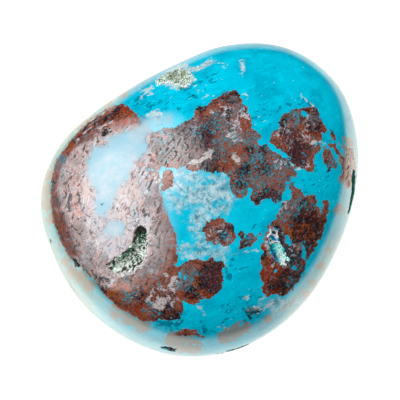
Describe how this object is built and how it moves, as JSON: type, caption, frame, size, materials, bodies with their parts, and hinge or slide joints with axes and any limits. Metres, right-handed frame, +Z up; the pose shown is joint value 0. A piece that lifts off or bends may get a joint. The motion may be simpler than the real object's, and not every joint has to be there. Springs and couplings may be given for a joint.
{
  "type": "tumbled chrysocolla pebble",
  "caption": "Polished egg-shaped turquoise stone with rust-red patches, cloudy quartz and open crystal-lined hollows, lying on a small flat.",
  "frame": {"origin": "centre of the plan box, on the resting flat under the stone", "axes": "+Z up through the face with the crescent hollow, the stone's shortest way; +X to the right and +Y to the top of that face as the picture shows it"},
  "size_m": [0.0319, 0.0314, 0.0201],
  "materials": {
    "stone": "high polish",
    "crescent_crust": "sparkling crystals",
    "blue_crust": "fine crystals",
    "shoulder_crust": "granular"
  },
  "bodies": {
    "root": {"stone": "stone", "crescent_crust": "crescent_crust", "blue_crust": "blue_crust", "shoulder_crust": "shoulder_crust"}
  },
  "joints": []
}
